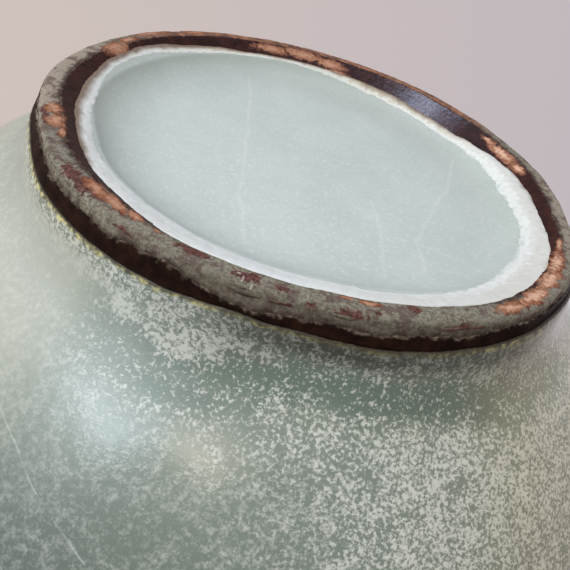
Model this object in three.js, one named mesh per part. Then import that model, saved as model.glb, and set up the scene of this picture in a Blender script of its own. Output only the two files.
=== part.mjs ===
// A celadon bottle vase: a pear-shaped stoneware body thrown in sections and luted together,
// glazed inside and out, standing on a low foot ring dressed with iron-brown slip.
// Millimetres, +Z up, the foot's resting face on z = 0 and the vase's axis on Z.

import * as THREE from 'three';

// Flat facets round every turned piece
const facets = 40;

// Foot ring
const footRadius = 50;          // outer edge of the resting face
const restingWidth = 3.2;       // width of the worn resting face
const wornHeight = 2;           // bare clay worn up the outside of the foot
const wornFlare = 0.1;          // how far the worn edge leans out
const footTop = 5.2;            // joint plane on top of the foot ring
const footLedge = 12.5;         // width of that joint plane
const innerSlopeRun = 2.8;      // dressed slope inside the resting face, across
const innerSlopeRise = 1.55;    // and up
const innerFlankRun = 2.6;      // shallow flank under the white glaze roll, across
const innerFlankRise = 1.45;    // and up

// Slip that lutes the sections, and the iron-brown dressing of the foot
const slipThickness = 0.8;
const dressingThickness = 0.25;
const dressingFeather = 0.5;    // run over which the dressing thins out at its worn edge

// Glazes
const outerGlaze = 0.9;
const innerGlaze = 0.6;
const baseGlaze = 1;
const glazeLineHeight = 4;      // where the outer glaze stops above the foot
const glazeStandOut = 1.9;      // its surface there stands this far outside the resting face
const bondGap = 0.02;           // left between a glaze and the clay that it covers
const rollBulge = 0.45;         // how proud the white roll stands in the base's corner
const baseDishReach = 12;       // width of the curve from the roll to the flat of the base

// Clay walls, measured square to the surface
const footWall = 5;
const bellyWall = 5;
const shoulderWall = 4.6;
const waistWall = 4;
const lipWall = 2.8;
const floorThickness = 6.5;
const floorRadius = 34;         // flat part of the floor inside

// Outline of the glazed outside
const coveRadius = 10;          // hollow curve between the foot and the belly
const coveHeading = 33;         // degrees above level where the cove meets the belly
const bellyRadius = 100;
const bellyHeight = 95;
const shoulderRadius = 62;      // joint between the upper body and the neck
const shoulderHeight = 172;
const shoulderHeading = 129;
const waistRadius = 23.5;       // narrowest place of the neck
const waistHeight = 258;
const lipRadius = 47;
const lipHeight = 328;
const lipHeading = 38;
const bellyFullness = 0.353;    // length of a curve's end tangents as a share of its chord
const neckFullness = 0.36;
const mouthFullness = 0.34;

const clay = new THREE.MeshStandardMaterial({ color: 0x66624f, roughness: 0.95, metalness: 0 });
const slip = new THREE.MeshStandardMaterial({ color: 0x857f6c, roughness: 0.95, metalness: 0 });
const dressing = new THREE.MeshStandardMaterial({ color: 0x2c1c18, roughness: 0.55, metalness: 0 });
const celadon = new THREE.MeshStandardMaterial({ color: 0x8f9f94, roughness: 0.22, metalness: 0 });
const liner = new THREE.MeshStandardMaterial({ color: 0xa3aea4, roughness: 0.3, metalness: 0 });
const lipTone = new THREE.MeshStandardMaterial({ color: 0x8a8266, roughness: 0.3, metalness: 0 });
const baseTone = new THREE.MeshStandardMaterial({ color: 0xb8c5c0, roughness: 0.3, metalness: 0 });
const crust = new THREE.MeshStandardMaterial({ color: 0xd6d5d0, roughness: 0.6, metalness: 0 });

// The profiles are drawn radius across and height up, and turned about the upright axis.
const vase = new THREE.Group();
vase.rotation.x = Math.PI / 2;

function turned(name, profile, material) {
  const mesh = new THREE.Mesh(new THREE.LatheGeometry(profile, facets), material);
  mesh.name = name;
  vase.add(mesh);
}

const at = (radius, height) => new THREE.Vector2(radius, height);

function along(degrees) {
  const angle = THREE.MathUtils.degToRad(degrees);
  return at(Math.cos(angle), Math.sin(angle));
}

const closed = (points) => [...points, points[0]];

// The outline is a list of stations: a point, the way into the wall there, and the clay's thickness.
const outline = [];

function station(point, heading, wall) {
  return { point, inward: at(-heading.y, heading.x), wall };
}

// Adds one stretch to the outline and gives the numbers of its first and last station.
function addStretch(curve, steps, wallBefore, wallAfter) {
  if (outline.length === 0) outline.push(station(curve.getPoint(0), curve.getTangent(0), wallBefore));
  const first = outline.length - 1;
  for (let step = 1; step <= steps; step += 1) {
    const share = step / steps;
    const wall = THREE.MathUtils.lerp(wallBefore, wallAfter, share);
    outline.push(station(curve.getPoint(share), curve.getTangent(share), wall));
  }
  return { first, last: outline.length - 1 };
}

const outlineEnd = () => outline[outline.length - 1].point;

function straight(degrees, length) {
  const start = outlineEnd();
  return new THREE.LineCurve(start, start.clone().addScaledVector(along(degrees), length));
}

function swept(start, startHeading, end, endHeading, fullness) {
  const pull = fullness * start.distanceTo(end);
  return new THREE.CubicBezierCurve(
    start,
    start.clone().addScaledVector(along(startHeading), pull),
    end.clone().addScaledVector(along(endHeading), -pull),
    end,
  );
}

// The outside, from the glaze line above the foot to the lip
const wallRadius = footRadius + glazeStandOut;
const coveStart = footTop + slipThickness;
const coveTurn = THREE.MathUtils.degToRad(90 - coveHeading);
const coveCurve = new THREE.EllipseCurve(
  wallRadius + coveRadius, coveStart, coveRadius, coveRadius, Math.PI, Math.PI - coveTurn, true,
);

const footStretch = addStretch(
  new THREE.LineCurve(at(wallRadius, glazeLineHeight), at(wallRadius, footTop)), 1, footWall, footWall,
);
const footJoint = addStretch(straight(90, slipThickness), 1, footWall, footWall);
const cove = addStretch(coveCurve, 3, footWall, footWall);
const baseJoint = addStretch(straight(coveHeading, slipThickness), 1, footWall, footWall);
const belly = addStretch(
  swept(outlineEnd(), coveHeading, at(bellyRadius, bellyHeight), 90, bellyFullness),
  6, footWall, bellyWall,
);
const bellyJoint = addStretch(straight(90, slipThickness), 1, bellyWall, bellyWall);
const shoulder = addStretch(
  swept(outlineEnd(), 90, at(shoulderRadius, shoulderHeight), shoulderHeading, bellyFullness),
  5, bellyWall, shoulderWall,
);
const shoulderJoint = addStretch(straight(shoulderHeading, slipThickness), 1, shoulderWall, shoulderWall);
const neck = addStretch(
  swept(outlineEnd(), shoulderHeading, at(waistRadius, waistHeight), 90, neckFullness),
  5, shoulderWall, waistWall,
);
const mouth = addStretch(
  swept(outlineEnd(), 90, at(lipRadius, lipHeight), lipHeading, mouthFullness),
  5, waistWall, lipWall,
);

// Layers of the wall, each following the outline station by station
const layer = (depthAt) => outline.map((s) => s.point.clone().addScaledVector(s.inward, depthAt(s)));
const skin = layer(() => 0);
const skinBack = layer(() => outerGlaze);
const clayOutside = layer(() => outerGlaze + bondGap);
const clayInside = layer((s) => outerGlaze + s.wall - bondGap);
const linerBack = layer((s) => outerGlaze + s.wall);
const inside = layer((s) => outerGlaze + s.wall + innerGlaze);

const run = (points, first, last) => points.slice(first, last + 1);
const back = (points, first, last) => run(points, first, last).reverse();

// A band of the wall between two layers
function band(outer, inner, first, last) {
  return closed([...run(outer, first, last), ...back(inner, first, last)]);
}

// A half circle over the lip, from its outer to its inner corner
function lipArc(layerOut, layerIn) {
  const steps = 4;
  const outerEnd = layerOut[mouth.last];
  const centre = outerEnd.clone().add(layerIn[mouth.last]).multiplyScalar(0.5);
  const across = outerEnd.clone().sub(centre);
  const ahead = along(lipHeading).multiplyScalar(across.length());
  const arc = [];
  for (let step = 1; step < steps; step += 1) {
    const angle = Math.PI * step / steps;
    arc.push(centre.clone().addScaledVector(across, Math.cos(angle)).addScaledVector(ahead, Math.sin(angle)));
  }
  return arc;
}

// Foot ring: a turned wedge of clay with a narrow worn resting face
const clayRadius = wallRadius - outerGlaze - bondGap;
const restingInner = at(footRadius - restingWidth, 0);
const wornEdge = at(footRadius + wornFlare, wornHeight);
const glazeStop = at(clayRadius, glazeLineHeight);
const slopeEnd = restingInner.clone().add(at(-innerSlopeRun, innerSlopeRise));
const flankEnd = slopeEnd.clone().add(at(-innerFlankRun, innerFlankRise));
const ledgeRadius = clayRadius - footLedge;
turned('foot_ring', closed([
  restingInner,
  at(footRadius, 0),
  wornEdge,
  glazeStop,
  at(clayRadius, footTop),
  at(ledgeRadius, footTop),
  flankEnd,
  slopeEnd,
]), clay);

turned('foot_luting', closed([
  at(ledgeRadius, footTop),
  at(clayRadius, footTop),
  at(clayRadius, coveStart),
  at(ledgeRadius, coveStart),
]), slip);

// Iron-brown dressing: a thin coat on each side of the foot, worn away from the resting face
function coat(wornEnd, sheltered, side) {
  const run = sheltered.clone().sub(wornEnd);
  const away = at(run.y, -run.x).normalize().multiplyScalar(side * dressingThickness);
  const full = wornEnd.clone().addScaledVector(run.normalize(), dressingFeather).add(away);
  return { full, end: sheltered.clone().add(away) };
}

const outerCoat = coat(wornEdge, glazeStop, 1);
turned('outer_foot_dressing', closed([
  wornEdge,
  outerCoat.full,
  at(outerCoat.end.x, glazeLineHeight),
  glazeStop,
]), dressing);

const innerWorn = restingInner.clone().lerp(slopeEnd, 0.06);
const innerCoat = coat(innerWorn, slopeEnd, -1);
turned('inner_foot_dressing', closed([
  innerCoat.end,
  innerCoat.full,
  innerWorn,
  slopeEnd,
]), dressing);

// Base section: a thick saucer whose turned-up edge is the cove
const floorTop = coveStart + floorThickness;
const saucerSteps = 3;
const saucerCurve = swept(clayInside[cove.last], coveHeading + 180, at(floorRadius, floorTop), 180, bellyFullness);
const saucer = [];
const saucerBacked = [];
const saucerGlazed = [];
for (let step = 1; step <= saucerSteps; step += 1) {
  const point = saucerCurve.getPoint(step / saucerSteps);
  const heading = saucerCurve.getTangent(step / saucerSteps);
  const upward = at(heading.y, -heading.x);
  saucer.push(point);
  saucerBacked.push(point.clone().addScaledVector(upward, bondGap));
  saucerGlazed.push(point.clone().addScaledVector(upward, bondGap + innerGlaze));
}
turned('base_section', [
  at(0, coveStart),
  ...run(clayOutside, cove.first, cove.last),
  clayInside[cove.last],
  ...saucer,
  at(0, floorTop),
], clay);

// The wall above it, with the slip in its joints
turned('base_luting', band(clayOutside, clayInside, baseJoint.first, baseJoint.last), slip);
turned('lower_body', band(clayOutside, clayInside, belly.first, belly.last), clay);
turned('belly_luting', band(clayOutside, clayInside, bellyJoint.first, bellyJoint.last), slip);
turned('upper_body', band(clayOutside, clayInside, shoulder.first, shoulder.last), clay);
turned('shoulder_luting', band(clayOutside, clayInside, shoulderJoint.first, shoulderJoint.last), slip);

const clayLip = lipArc(clayOutside, clayInside);
turned('neck_and_mouth', closed([
  ...run(clayOutside, neck.first, mouth.last),
  ...clayLip,
  ...back(clayInside, neck.first, mouth.last),
]), clay);

// Glaze outside, over the lip and inside
turned('outer_glaze', band(skin, skinBack, footStretch.first, mouth.last), celadon);
turned('lip_glaze', closed([
  skin[mouth.last],
  ...lipArc(skin, inside),
  inside[mouth.last],
  linerBack[mouth.last],
  ...lipArc(skinBack, linerBack).reverse(),
  skinBack[mouth.last],
]), lipTone);
turned('inner_glaze', [
  at(0, floorTop + bondGap),
  ...saucerBacked.reverse(),
  ...run(linerBack, cove.last, mouth.last),
  ...back(inside, cove.last, mouth.last),
  ...saucerGlazed,
  at(0, floorTop + bondGap + innerGlaze),
], liner);

// Glaze under the base: a white roll in the corner of the foot, and a dished pool inside it
const rollOuter = innerCoat.end;
const rollInner = at(flankEnd.x, flankEnd.y - baseGlaze);
const rollCrest = rollOuter.clone().lerp(rollInner, 0.5).add(at(0, -rollBulge));
turned('base_glaze_roll', closed([
  rollInner,
  rollInner.clone().lerp(rollCrest, 0.5).add(at(0, -rollBulge / 4)),
  rollCrest,
  rollCrest.clone().lerp(rollOuter, 0.5).add(at(0, -rollBulge / 4)),
  rollOuter,
  slopeEnd,
  flankEnd,
]), crust);

const baseSurface = coveStart - baseGlaze;
const dishCurve = swept(at(rollInner.x - baseDishReach, baseSurface), 0, rollInner, -45, bellyFullness);
turned('base_glaze', [
  at(0, baseSurface),
  ...dishCurve.getPoints(3),
  flankEnd,
  at(ledgeRadius, footTop),
  at(ledgeRadius, coveStart),
  at(0, coveStart),
], baseTone);

export default vase;
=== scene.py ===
"""A celadon bottle vase, seen from below its worn, iron-dressed foot ring.

Metres in Blender and millimetres in the profiles, +Z up, the resting face on z = 0.
Angles round the vase are in degrees from +X. The camera stands on the -Y side, below the foot.
"""

import functools
import itertools
import math

import bpy
import numpy as np
from mathutils import Matrix, Vector
from mathutils.bvhtree import BVHTree


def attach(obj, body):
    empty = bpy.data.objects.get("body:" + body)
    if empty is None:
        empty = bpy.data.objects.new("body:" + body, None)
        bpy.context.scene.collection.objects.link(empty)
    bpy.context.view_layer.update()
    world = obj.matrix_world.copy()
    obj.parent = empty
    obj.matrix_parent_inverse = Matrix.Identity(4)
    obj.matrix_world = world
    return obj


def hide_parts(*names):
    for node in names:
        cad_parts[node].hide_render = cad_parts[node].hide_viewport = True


MM = 0.001
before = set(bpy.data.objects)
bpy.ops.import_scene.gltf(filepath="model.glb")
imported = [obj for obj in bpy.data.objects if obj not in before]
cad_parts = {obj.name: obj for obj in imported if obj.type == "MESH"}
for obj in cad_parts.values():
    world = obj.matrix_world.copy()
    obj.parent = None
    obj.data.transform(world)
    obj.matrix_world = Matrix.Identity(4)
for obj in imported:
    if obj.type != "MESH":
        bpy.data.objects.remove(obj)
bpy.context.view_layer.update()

# Sizes in millimetres, as the construction has them
FOOT_RADIUS = 50.0
RESTING_WIDTH = 3.2
WORN_HEIGHT = 2.0
WORN_FLARE = 0.1
FOOT_TOP = 5.2
FOOT_LEDGE = 12.5
SLOPE_RUN, SLOPE_RISE = 2.8, 1.55
FLANK_RUN, FLANK_RISE = 2.6, 1.45
SLIP = 0.8
DRESSING = 0.25
OUTER_GLAZE = 0.9
INNER_GLAZE = 0.6
BASE_GLAZE = 1.0
BOND_GAP = 0.02
GLAZE_LINE = 4.0
GLAZE_STAND_OUT = 1.9
DISH_REACH = 12.0
FOOT_WALL, BELLY_WALL, SHOULDER_WALL, WAIST_WALL, LIP_WALL = 5.0, 5.0, 4.6, 4.0, 2.8
FLOOR_THICKNESS = 6.5
FLOOR_RADIUS = 34.0
COVE_RADIUS, COVE_HEADING = 10.0, 33.0
BELLY = (100.0, 95.0)
SHOULDER, SHOULDER_HEADING = (62.0, 172.0), 129.0
WAIST = (23.5, 258.0)
LIP, LIP_HEADING = (47.0, 328.0), 38.0
BELLY_FULLNESS, NECK_FULLNESS, MOUTH_FULLNESS = 0.353, 0.36, 0.34

WALL_RADIUS = FOOT_RADIUS + GLAZE_STAND_OUT
COVE_START = FOOT_TOP + SLIP
FLOOR_TOP = COVE_START + FLOOR_THICKNESS
INNER_EDGE = FOOT_RADIUS - RESTING_WIDTH
CLAY_RADIUS = WALL_RADIUS - OUTER_GLAZE - BOND_GAP
LEDGE_RADIUS = CLAY_RADIUS - FOOT_LEDGE

# How finely things are made: points round the axis, and steps to a millimetre of the outline
FOOT_SEGMENTS = 1800
GLAZE_SEGMENTS, POOL_SEGMENTS, COAT_SEGMENTS, CLAY_SEGMENTS = 1080, 900, 540, 180
GLAZE_DETAIL, COAT_DETAIL, CLAY_DETAIL = 1.0, 0.8, 0.4
# Radius at which a profile ends before it is capped on the axis
NEAR_AXIS = 0.4
# Spacing of the points of the foot's section, and a reach far from every mark on it
SECTION_SPACING = 0.16
FAR_REACH = -30.0

# The photograph's camera: distance in foot radii, the rest in degrees
CAMERA_DISTANCE = 2.245
CAMERA_BELOW = 23.2
CAMERA_PAN, CAMERA_TILT, CAMERA_ROLL = 1.01, 15.11, -18.18
LENS, SENSOR = 36.0, 36.0
PHOTO_SIDE = 570


# Smooth noise, the same in every run

# Large odd numbers that scatter the lattice's cells, with the seed's own last, and that mix the result
SCATTER = (73856093, 19349663, 83492791, 2654435761)
MIXERS = (2246822519, 3266489917)
LOW_BITS = 0xFFFFFFFF


def lattice_noise(points, feature, seed):
    """Noise from -1 to 1 at points in millimetres, with bumps of about the feature's size."""
    place = points / feature
    cell = np.floor(place).astype(np.int64)
    part = place - cell
    ease = part * part * (3 - 2 * part)
    total = np.zeros(points.shape[:-1])
    for corner in itertools.product((0, 1), repeat=3):
        c = cell + np.array(corner)
        x, y, z = (c[..., axis] * SCATTER[axis] for axis in range(3))
        key = (x ^ y ^ z ^ (seed * SCATTER[3])) & LOW_BITS
        key = ((key ^ (key >> 15)) * MIXERS[0]) & LOW_BITS
        key = ((key ^ (key >> 13)) * MIXERS[1]) & LOW_BITS
        value = ((key >> 8) & 0xFFFF) / 32767.5 - 1
        weight = np.where(np.array(corner) == 1, ease, 1 - ease).prod(-1)
        total += value * weight
    return total


def layered_noise(points, feature, seed, octaves=3, gain=0.5):
    """Noise from -1 to 1 of several octaves, each half as coarse as the one before."""
    total = np.zeros(points.shape[:-1])
    strength = 1.0
    whole = 0.0
    for octave in range(octaves):
        total += strength * lattice_noise(points, feature / 2 ** octave, seed + octave)
        whole += strength
        strength *= gain
    return total / whole


def waves(points, *layers):
    """Layered noises added up. Each is its size, the size of its bumps, its seed and perhaps its octaves."""
    return sum(size * layered_noise(points, *noise) for size, *noise in layers)


def round_table(table):
    """A smooth periodic function of the angle through a few chosen {degrees: value}."""
    degrees = np.array(sorted(table), float)
    values = np.array([table[d] for d in sorted(table)], float)
    degrees = np.concatenate([degrees - 360, degrees, degrees + 360])
    values = np.tile(values, 3)

    def at(angle):
        a = np.mod(angle + 180, 360) - 180
        i = np.clip(np.searchsorted(degrees, a) - 1, 0, len(degrees) - 2)
        share = (a - degrees[i]) / (degrees[i + 1] - degrees[i])
        ease = share * share * (3 - 2 * share)
        return values[i] * (1 - ease) + values[i + 1] * ease
    return at


def smooth(low, high, x):
    """A smooth step from 0 at the low end to 1 at the high end."""
    share = np.clip((x - low) / (high - low), 0, 1)
    return share * share * (3 - 2 * share)


def between(x, low, from_low, to_high, high):
    """1 in the middle of a stretch and 0 outside it, with smooth ends."""
    return smooth(low, from_low, x) * (1 - smooth(to_high, high, x))


# Outline of the vase, as stations with a point, a direction and the clay's thickness

def heading(degrees):
    """The direction at an angle from level, as radius and height."""
    return np.array([math.cos(math.radians(degrees)), math.sin(math.radians(degrees))])


def swept(start, start_heading, end, end_heading, fullness, steps):
    """Points and directions of one cubic curve, without its first point."""
    start, end = np.array(start, float), np.array(end, float)
    pull = fullness * np.linalg.norm(end - start)
    a = start + heading(start_heading) * pull
    b = end - heading(end_heading) * pull
    t = (np.arange(1, steps + 1) / steps)[:, None]
    points = (1 - t) ** 3 * start + 3 * (1 - t) ** 2 * t * a + 3 * (1 - t) * t * t * b + t ** 3 * end
    ways = (1 - t) ** 2 * (a - start) + 2 * (1 - t) * t * (b - a) + t * t * (end - b)
    return points, ways / np.linalg.norm(ways, axis=1)[:, None]


def straight(start, degrees, length, steps):
    """Points and directions of a straight line, without its first point."""
    t = (np.arange(1, steps + 1) / steps)[:, None]
    way = heading(degrees)
    return np.array(start) + t * length * way, np.tile(way, (steps, 1))


def arc(centre, radius, from_degrees, to_degrees, steps):
    """A hollow curve turned clockwise, without its first point."""
    angles = np.radians(np.linspace(from_degrees, to_degrees, steps + 1)[1:])
    spoke = np.stack([np.cos(angles), np.sin(angles)], 1)
    return np.array(centre) + radius * spoke, np.stack([spoke[:, 1], -spoke[:, 0]], 1)


class Outline:
    """The outside from the glaze line to the lip. A detail of 1 gives steps of about a millimetre."""

    def __init__(self, detail):
        self.points = [np.array([WALL_RADIUS, GLAZE_LINE])]
        self.ways = [heading(90)]
        self.walls = [FOOT_WALL]
        self.ends = {"start": 0}
        self.detail = detail
        self.stretch("foot", straight(self.points[-1], 90, FOOT_TOP - GLAZE_LINE, self.steps(10)), FOOT_WALL)
        self.joint("foot_joint", 90, FOOT_WALL)
        centre = (WALL_RADIUS + COVE_RADIUS, COVE_START)
        self.stretch("cove", arc(centre, COVE_RADIUS, 180, 90 + COVE_HEADING, self.steps(20)), FOOT_WALL)
        self.joint("base_joint", COVE_HEADING, FOOT_WALL)
        self.curve("belly", COVE_HEADING, BELLY, 90, BELLY_FULLNESS, 94, BELLY_WALL)
        self.joint("belly_joint", 90, BELLY_WALL)
        self.curve("shoulder", 90, SHOULDER, SHOULDER_HEADING, BELLY_FULLNESS, 60, SHOULDER_WALL)
        self.joint("shoulder_joint", SHOULDER_HEADING, SHOULDER_WALL)
        self.curve("neck", SHOULDER_HEADING, WAIST, 90, NECK_FULLNESS, 60, WAIST_WALL)
        self.curve("mouth", 90, LIP, LIP_HEADING, MOUTH_FULLNESS, 60, LIP_WALL)
        self.points, self.ways = np.array(self.points), np.array(self.ways)
        self.walls = np.array(self.walls)
        self.inward = np.stack([-self.ways[:, 1], self.ways[:, 0]], 1)

    def steps(self, length):
        """How many steps a length in millimetres gets."""
        return max(2, round(length * self.detail))

    def joint(self, name, degrees, wall):
        """A joint's straight stretch of slip."""
        self.stretch(name, straight(self.points[-1], degrees, SLIP, 2), wall)

    def curve(self, name, start_heading, end, end_heading, fullness, length, wall):
        """A stretch along one cubic curve from the last point."""
        points = swept(self.points[-1], start_heading, end, end_heading, fullness, self.steps(length))
        self.stretch(name, points, wall)

    def stretch(self, name, curve, wall_after):
        """Adds a curve's stations, over which the clay changes to a new thickness."""
        wall_before = self.walls[-1]
        points, ways = curve
        for i, (point, way) in enumerate(zip(points, ways), 1):
            self.points.append(point)
            self.ways.append(way)
            self.walls.append(wall_before + (wall_after - wall_before) * i / len(points))
        self.ends[name] = len(self.points) - 1

    def layer(self, depth, first="start", last="mouth", through_wall=False):
        """The outline's points between two joints, moved into the wall by a depth."""
        pick = slice(self.ends[first], self.ends[last] + 1)
        depth = depth + (self.walls[pick, None] if through_wall else 0)
        return self.points[pick] + self.inward[pick] * depth

    def band(self, outer, inner, first, last):
        """A section of the wall between two joints, as a closed profile."""
        return np.concatenate([
            self.layer(outer, first, last),
            self.layer(inner, first, last, True)[::-1],
        ])


# Meshes turned about the axis

# The foot was thrown a little out of round: millimetres of radius by angle
OUT_OF_ROUND = round_table({
    -178: -0.7, -167: 0.1, -150: 0.6, -135: 0.8, -127: 0.45, -118: 0.1, -108: -0.3, -99: -0.6, -90: -0.25,
    -82: 0.0, -72: 0.45, -60: 0.45, -48: 0.4, -30: -0.25, -20: 0.0, -8: 0.25, 12: 0.1, 30: 0.5, 46: 0.8,
    64: 1.0, 90: 1.2, 110: 1.4, 130: 0.9, 145: 0.1, 160: 0.1, 168: -0.4,
})


def lopsided(radius, height, degrees):
    """Out-of-roundness of the foot, fading out up the belly and towards the axis."""
    share = (1 - smooth(6, 34, height)) * smooth(8, 40, radius)
    return radius + share * OUT_OF_ROUND(degrees)


def all_round(segments):
    """Angles from -180 on, evenly spaced."""
    return np.arange(segments) * 360.0 / segments - 180


def on_every_turn(values, segments):
    """A profile's values, repeated at every angle."""
    return np.repeat(np.asarray(values, float)[None, :], segments, 0)


def on_every_point(degrees, count):
    """Values that go by the angle, repeated along a profile of so many points."""
    return np.repeat(degrees[:, None], count, 1)


def ring_places(profile, segments):
    """Radius, height and angle of every point of a profile turned round the axis."""
    profile = np.asarray(profile, float)
    radius = on_every_turn(profile[:, 0], segments)
    height = on_every_turn(profile[:, 1], segments)
    return radius, height, on_every_point(all_round(segments), len(profile))


def cartesian(radius, height, degrees):
    """Points in millimetres. A radius or height may be one number for all angles."""
    turn = np.radians(degrees)
    return np.stack(np.broadcast_arrays(radius * np.cos(turn), radius * np.sin(turn), height), -1)


def turned_mesh(name, radius, height, degrees, closed=True, marks=None):
    """A mesh from a grid of points, segments by profile points. Ends on the axis are capped to one point."""
    radius = lopsided(radius, height, degrees)
    points = cartesian(radius, height, degrees) * MM
    segments, count = radius.shape
    vertices = points.reshape(-1, 3)
    index = np.arange(segments * count).reshape(segments, count)
    following = np.roll(index, -1, 0)
    last = count if closed else count - 1
    here, there = index[:, :last], following[:, :last]
    up_here = np.roll(index, -1, 1)[:, :last]
    up_there = np.roll(following, -1, 1)[:, :last]
    quads = np.stack([here, there, up_there, up_here], -1).reshape(-1, 4)
    faces = quads.tolist()
    extra = []
    if not closed:
        for column, flip in ((0, False), (count - 1, True)):
            centre = len(vertices) + len(extra)
            extra.append((0.0, 0.0, float(height[:, column].mean()) * MM))
            for a, b in zip(index[:, column], following[:, column]):
                faces.append([int(a), int(b), centre] if flip else [int(b), int(a), centre])
        vertices = np.vstack([vertices, np.array(extra)])
    mesh = bpy.data.meshes.new(name)
    mesh.from_pydata(vertices.tolist(), [], faces)
    for mark, values in (marks or {}).items():
        flat = np.concatenate([np.asarray(values, float).reshape(-1), np.zeros(len(extra))])
        layer = mesh.attributes.new(mark, "FLOAT", "POINT")
        layer.data.foreach_set("value", flat.astype(np.float32))
    mesh.polygons.foreach_set("use_smooth", np.ones(len(mesh.polygons), bool))
    mesh.update()
    piece = bpy.data.objects.new(name, mesh)
    bpy.context.scene.collection.objects.link(piece)
    return piece


def place(piece, material, slot, *nodes):
    """Gives a piece its material and its body, and hides the nodes that it stands for. The slot is not used.
    """
    piece.data.materials.append(material)
    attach(piece, "root")
    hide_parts(*nodes)
    return piece


# Foot ring

# A place on the foot is an angle and a reach: millimetres along its section from the resting face's
# inner edge, over the face and up the outside, and below 0 down the inner slope.
# Chips: angle, reach, length along the ring, width across it, depth
CHIPS = (
    (-86.5, 4.5, 4.6, 1.3, 0.35), (-91.5, 5.0, 3.4, 1.0, 0.3), (-82.0, 3.0, 2.0, 0.9, 0.15),
    (-57.0, 4.6, 2.6, 0.8, 0.2), (-101.0, 4.3, 3.6, 1.0, 0.2), (-118.0, 4.1, 3.0, 1.1, 0.2),
    (-30.0, 4.2, 2.6, 0.9, 0.2), (8.0, 4.1, 6.0, 1.6, 0.3), (24.0, 3.8, 5.0, 1.3, 0.2),
    (150.0, 4.3, 3.5, 1.0, 0.2), (95.0, 4.1, 4.0, 1.2, 0.2), (-150.0, 4.3, 3.0, 0.9, 0.2),
    (62.0, 1.5, 3.0, 0.8, 0.2), (-107.0, 2.4, 1.6, 0.8, 0.15), (-71.0, 2.2, 1.8, 0.8, 0.15),
    (-126.0, 1.2, 2.2, 0.8, 0.15),
)
# Burnt patches, copper-coloured: angle, reach, length, width
COPPER = (
    (-28, 0.9, 4.5, 3.0), (-33, 0.8, 6.0, 3.4), (-37.5, 0.2, 4.0, 1.4), (-56, 0.8, 6.0, 2.2),
    (-60.5, 0.5, 7.0, 2.4), (-65, 0.3, 4.0, 1.5), (-70, 0.3, 1.8, 0.7), (-105, 0.65, 3.6, 1.1),
    (-101.8, 0.4, 3.0, 0.7), (-132, 1.3, 8.0, 2.2), (-140, 1.0, 12.0, 3.0), (-148, 0.5, 12.0, 3.2),
    (-156, -0.1, 11.0, 2.8), (-164, -0.2, 7.0, 1.2), (150, -1.7, 13.0, 3.2), (158, -1.6, 6.0, 2.4),
    (143, -1.4, 6.0, 1.6), (12.5, -0.6, 9.0, 4.6), (19, 0.8, 6.0, 2.2), (28, 1.8, 11.0, 1.4),
    (43, 1.6, 8.0, 1.4), (66, -1.8, 12.0, 3.0), (76, -1.6, 14.0, 3.6), (85, -2.2, 10.0, 3.4),
    (88, -4.3, 8.0, 1.8), (96, 0.8, 9.0, 1.4),
)
# Remnants of the dressing, dark red-brown, on the worn face
REMNANTS = (
    (-50.5, 2.0, 6.0, 2.4), (-54.5, 1.9, 6.5, 2.6), (-31, 2.3, 6.0, 1.2), (-76.6, 0.7, 5.4, 1.2),
    (-86.0, 1.3, 4.8, 2.0), (-91.5, 1.5, 2.8, 1.2), (-91.3, 4.2, 3.6, 0.8), (-102.0, 3.5, 5.0, 2.0),
    (-112.8, 0.6, 2.0, 1.9), (-120.0, 4.0, 5.4, 1.8), (-123.5, 4.3, 3.0, 1.2), (-136.5, 3.9, 3.6, 1.6),
    (-96.0, 2.9, 1.8, 1.0), (-146.0, 3.4, 4.0, 1.2), (-22.0, 3.6, 5.0, 1.2), (-15.0, 3.9, 6.0, 1.0),
    (-38.0, 3.6, 5.0, 1.0), (149.5, -2.5, 2.4, 1.0), (157.0, -1.0, 2.6, 1.2), (52, -0.2, 10.0, 1.4),
    (76, 0.6, 8.0, 1.2), (-106.5, 2.2, 1.4, 0.8), (-66.0, 3.4, 3.4, 1.0),
)
# Fresh pale scratches
SCRATCHES = ((-85.3, 1.9, 0.3, 1.4), (-86.9, 3.0, 0.28, 1.2), (-84.4, 1.2, 0.9, 0.3))

# Height of the worn face's outer border
WORN_EDGE = round_table({
    -180: 1.6, -160: 0.9, -146: 0.9, -139: 1.2, -133: 1.3, -128: 1.5, -121: 2.2, -115: 1.9, -107: 2.5,
    -101: 2.2, -93: 2.2, -88: 3.0, -84: 2.8, -79: 2.1, -74: 1.2, -70: 1.4, -63: 2.3, -56: 2.0, -47: 2.3,
    -42: 1.6, -37: 1.0, -30: 1.3, -10: 1.6, 10: 1.8, 60: 2.2, 120: 1.9,
})
# Height of the outside glaze's edge
LINE_HEIGHT = round_table({
    -180: 3.6, -160: 3.1, -145: 3.1, -135: 3.4, -126: 3.8, -116: 4.1, -109: 4.4, -101: 4.1, -92: 3.8,
    -86: 3.6, -80: 4.0, -74: 4.4, -66: 4.8, -56: 5.1, -45: 5.1, -37: 4.9, -28: 4.3, -10: 4.0, 30: 4.1,
    90: 3.9, 140: 4.0,
})
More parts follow.
